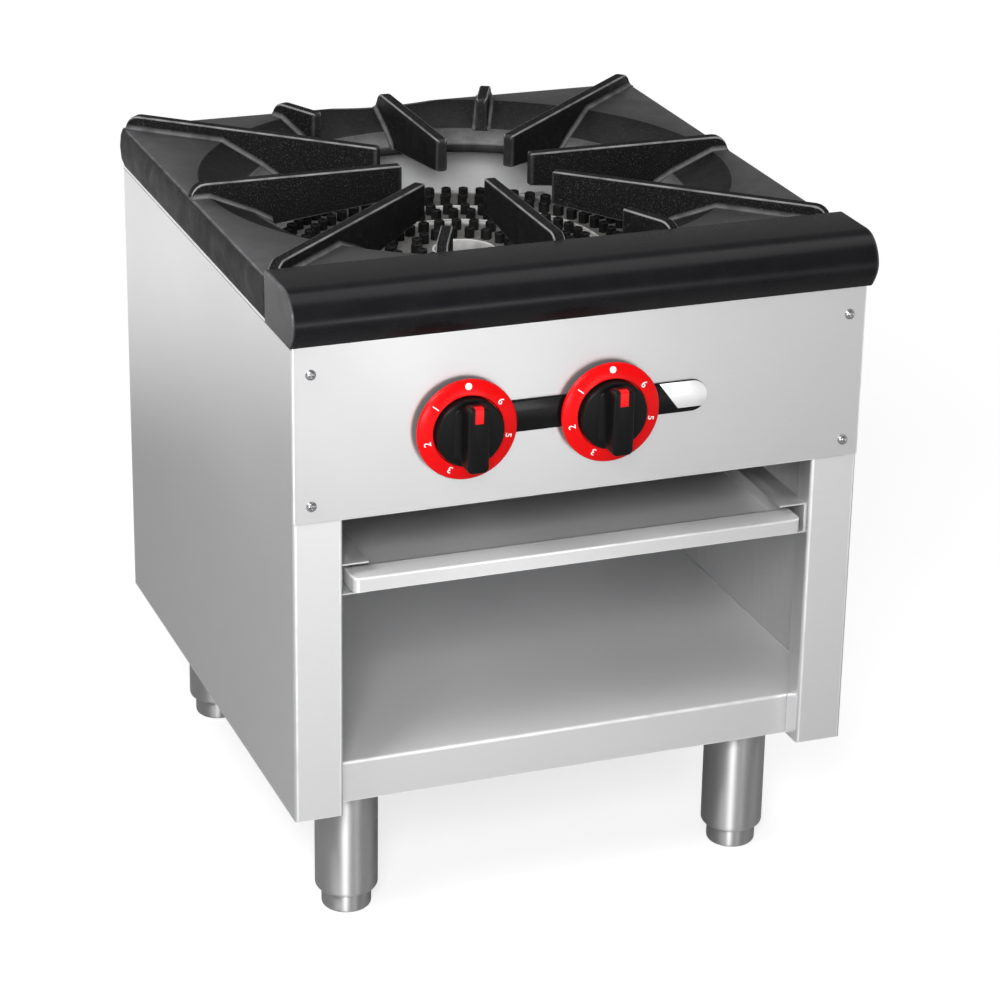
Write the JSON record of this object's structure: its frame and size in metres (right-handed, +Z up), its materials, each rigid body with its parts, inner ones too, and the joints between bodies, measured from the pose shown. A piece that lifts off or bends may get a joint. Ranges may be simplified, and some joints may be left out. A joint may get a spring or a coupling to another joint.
{
  "type": "stock pot range",
  "caption": "Floor-standing gas stock pot range: ribbed cast top over a ring burner, two knobs on a panel, a drip tray, an open shelf and adjustable legs.",
  "frame": {"origin": "centre of the whole object's box in plan, at the floor under the feet", "axes": "+X to the right as seen from the front, +Y to the back, +Z up"},
  "size_m": [0.4642, 0.5418, 0.5418],
  "materials": {
    "stainless": "brushed stainless sheet",
    "galvanised": "galvanised sheet",
    "screw_steel": "bright screws",
    "grate_iron": "sand-cast iron, black",
    "rail_enamel": "black satin enamel on cast iron",
    "burner_iron": "bare cast iron",
    "shutter_steel": "plain steel",
    "dial_red": "glossy red",
    "index_red": "red line",
    "knob_black": "black moulded knob",
    "brass": "turned brass",
    "black_pipe": "black pipe",
    "tube_aluminium": "bent tube",
    "pilot_steel": "pilot head",
    "leg_steel": "satin steel tube",
    "foot_steel": "satin steel foot"
  },
  "bodies": {
    "cabinet": {"back_panel": "galvanised", "badge_plate": "stainless", "bottom_shelf": "stainless", "bullnose": "rail_enamel", "burner_bars": "galvanised", "burner_inner_rings": "burner_iron", "burner_outer_ring": "burner_iron", "burner_straps": "galvanised", "control_panel": "stainless", "dial_bezel_left": "dial_red", "dial_bezel_right": "dial_red", "front_baffle": "galvanised", "gas_manifold": "black_pipe", "inlet_pipe": "black_pipe", "inner_air_shutter": "shutter_steel", "inner_mixer": "burner_iron", "leg_front_left": "leg_steel", "leg_front_right": "leg_steel", "leg_plates": "galvanised", "leg_rear_left": "leg_steel", "leg_rear_right": "leg_steel", "manifold_brackets": "galvanised", "manifold_cap": "black_pipe", "orifice_left": "brass", "orifice_right": "brass", "outer_air_shutter": "shutter_steel", "outer_mixer": "burner_iron", "panel_screws": "screw_steel", "pilot_burner": "pilot_steel", "pilot_tube": "tube_aluminium", "pilot_valve": "brass", "pipe_coupling": "black_pipe", "side_panel_left": "stainless", "side_panel_right": "stainless", "tray_runner_left": "galvanised", "tray_runner_right": "galvanised", "valve_left": "brass", "valve_right": "brass"},
    "left_knob": {"knob_left": "knob_black", "knob_index_left": "index_red", "valve_stem_left": "brass"},
    "right_knob": {"knob_right": "knob_black", "knob_index_right": "index_red", "valve_stem_right": "brass"},
    "tray": {"drip_tray": "stainless"},
    "grate": {"top_grate": "grate_iron"},
    "front_left_foot": {"foot_front_left": "foot_steel"},
    "front_right_foot": {"foot_front_right": "foot_steel"},
    "rear_left_foot": {"foot_rear_left": "foot_steel"},
    "rear_right_foot": {"foot_rear_right": "foot_steel"}
  },
  "joints": [
    {"name": "left_knob_turn", "type": "hinge", "parent": "cabinet", "child": "left_knob", "pos_m": [-0.097, -0.23775, 0.4215], "axis": [0, -1, 0], "range_deg": [0, 308]},
    {"name": "right_knob_turn", "type": "hinge", "parent": "cabinet", "child": "right_knob", "pos_m": [0.017, -0.23775, 0.4215], "axis": [0, -1, 0], "range_deg": [0, 308]},
    {"name": "tray_slide", "type": "slide", "parent": "cabinet", "child": "tray", "axis": [0, -1, 0], "range_m": [0, 0.4]},
    {"name": "grate_lift", "type": "slide", "parent": "cabinet", "child": "grate", "axis": [0, 0, 1], "range_m": [0, 0.15]},
    {"name": "front_left_foot_adjust", "type": "slide", "parent": "cabinet", "child": "front_left_foot", "axis": [0, 0, -1], "range_m": [0, 0.025]},
    {"name": "front_right_foot_adjust", "type": "slide", "parent": "cabinet", "child": "front_right_foot", "axis": [0, 0, -1], "range_m": [0, 0.025]},
    {"name": "rear_left_foot_adjust", "type": "slide", "parent": "cabinet", "child": "rear_left_foot", "axis": [0, 0, -1], "range_m": [0, 0.025]},
    {"name": "rear_right_foot_adjust", "type": "slide", "parent": "cabinet", "child": "rear_right_foot", "axis": [0, 0, -1], "range_m": [0, 0.025]}
  ]
}
